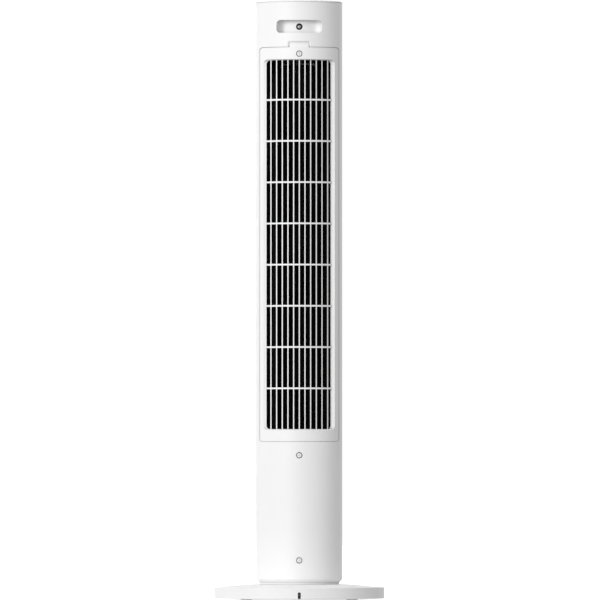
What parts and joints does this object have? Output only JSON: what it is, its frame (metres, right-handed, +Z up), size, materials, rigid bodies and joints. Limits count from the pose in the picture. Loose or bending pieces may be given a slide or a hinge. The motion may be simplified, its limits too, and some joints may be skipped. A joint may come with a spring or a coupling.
{
  "type": "tower fan",
  "caption": "Slim round tower fan: swivelling column with rear intake grille, front outlet, carry grip and top controls on a weighted round base.",
  "frame": {"origin": "centre of the round footprint, on the floor under the feet", "axes": "+Z up along the column; -Y is the front, where the air comes out; +Y is the rear, with the intake grille and the carry grip"},
  "size_m": [0.312, 0.312, 1.1],
  "materials": {
    "white_shell": "fine satin, cool white",
    "white_screw": "white enamel",
    "dark_steel": "blackened steel",
    "plain_steel": "zinc plated",
    "black_plastic": "black, fine texture",
    "gloss_black": "gloss black",
    "window_film": "smoked, clear",
    "button_grey": "soft touch",
    "natural_nylon": "self-lubricating nylon",
    "dark_rubber": "moulded rubber",
    "grey_rubber": "light grey, soft",
    "sintered_bronze": "oil-filled bronze",
    "aluminium_rotor": "cast",
    "coil_tape": "enamelled copper under tape",
    "circuit_board": "green solder mask",
    "wire_sleeve": "woven sleeve"
  },
  "bodies": {
    "base": {"base_cover": "white_shell", "base_plate": "black_plastic", "ballast_plate": "plain_steel", "rubber_feet": "grey_rubber", "base_screws": "plain_steel", "base_inner_screws": "plain_steel", "cord_gland": "dark_rubber", "base_hub": "black_plastic", "slide_ring": "natural_nylon", "thrust_washer": "natural_nylon", "hub_gear": "natural_nylon", "gear_retainer": "plain_steel"},
    "tower": {"bearing_bush": "sintered_bronze", "bearing_cap": "plain_steel", "bearing_rubber": "dark_rubber", "board_screws": "plain_steel", "control_panel": "gloss_black", "display_board": "circuit_board", "display_window": "window_film", "duct_bottom_plate": "black_plastic", "duct_screws": "plain_steel", "duct_top_plate": "black_plastic", "front_grille": "white_shell", "front_housing": "white_shell", "grip_cup": "dark_steel", "grip_screw": "plain_steel", "main_board": "circuit_board", "motor_bearings": "sintered_bronze", "motor_case_lower": "plain_steel", "motor_case_upper": "plain_steel", "motor_coils": "coil_tape", "motor_grommets": "dark_rubber", "motor_screws": "plain_steel", "motor_stator": "plain_steel", "oscillation_bracket": "plain_steel", "oscillation_motor": "plain_steel", "oscillation_screws": "plain_steel", "rear_housing": "white_shell", "rear_screws": "white_screw", "scroll_wall": "black_plastic", "tongue_wall": "black_plastic", "top_cap": "white_shell", "turntable": "white_shell", "turntable_screws": "plain_steel", "wiring_harness": "wire_sleeve"},
    "impeller": {"impeller_segments": "black_plastic", "impeller_end_disc": "black_plastic", "top_shaft": "plain_steel", "drive_hub": "dark_rubber", "motor_shaft": "plain_steel", "motor_rotor": "aluminium_rotor"},
    "oscillation_pinion_shaft": {"oscillation_pinion": "natural_nylon", "oscillation_shaft": "plain_steel"},
    "rear_grille_panel": {"rear_grille": "white_shell", "grille_screw": "white_screw"},
    "timer_button": {"timer_button": "button_grey"},
    "mode_button": {"mode_button": "button_grey"},
    "power_button": {"power_button": "button_grey"},
    "speed_button": {"speed_button": "button_grey"},
    "oscillation_button": {"oscillation_button": "button_grey"}
  },
  "joints": [
    {"name": "tower_swivel", "type": "hinge", "parent": "base", "child": "tower", "pos_m": [0, 0, 0.0315], "axis": [0, 0, 1], "range_deg": [-75, 75]},
    {"name": "oscillation_pinion_spin", "type": "hinge", "parent": "tower", "child": "oscillation_pinion_shaft", "pos_m": [0, -0.036, 0.044], "axis": [0, 0, 1], "range_deg": [-304, 304]},
    {"name": "impeller_spin", "type": "hinge", "parent": "tower", "child": "impeller", "pos_m": [0, 0.008, 0.64], "axis": [0, 0, 1], "continuous": true},
    {"name": "rear_grille_tilt", "type": "hinge", "parent": "tower", "child": "rear_grille_panel", "pos_m": [0, 0.079, 0.2909], "axis": [-1, 0, 0], "range_deg": [0, 20]},
    {"name": "timer_button_press", "type": "slide", "parent": "tower", "child": "timer_button", "axis": [0, 0, -1], "range_m": [0, 0.0008], "stiffness_N_per_m": 1200},
    {"name": "mode_button_press", "type": "slide", "parent": "tower", "child": "mode_button", "axis": [0, 0, -1], "range_m": [0, 0.0008], "stiffness_N_per_m": 1200},
    {"name": "power_button_press", "type": "slide", "parent": "tower", "child": "power_button", "axis": [0, 0, -1], "range_m": [0, 0.0008], "stiffness_N_per_m": 1200},
    {"name": "speed_button_press", "type": "slide", "parent": "tower", "child": "speed_button", "axis": [0, 0, -1], "range_m": [0, 0.0008], "stiffness_N_per_m": 1200},
    {"name": "oscillation_button_press", "type": "slide", "parent": "tower", "child": "oscillation_button", "axis": [0, 0, -1], "range_m": [0, 0.0008], "stiffness_N_per_m": 1200}
  ],
  "couplings": [
    {"joint": "oscillation_pinion_spin", "follows": "tower_swivel", "ratio": 4}
  ]
}
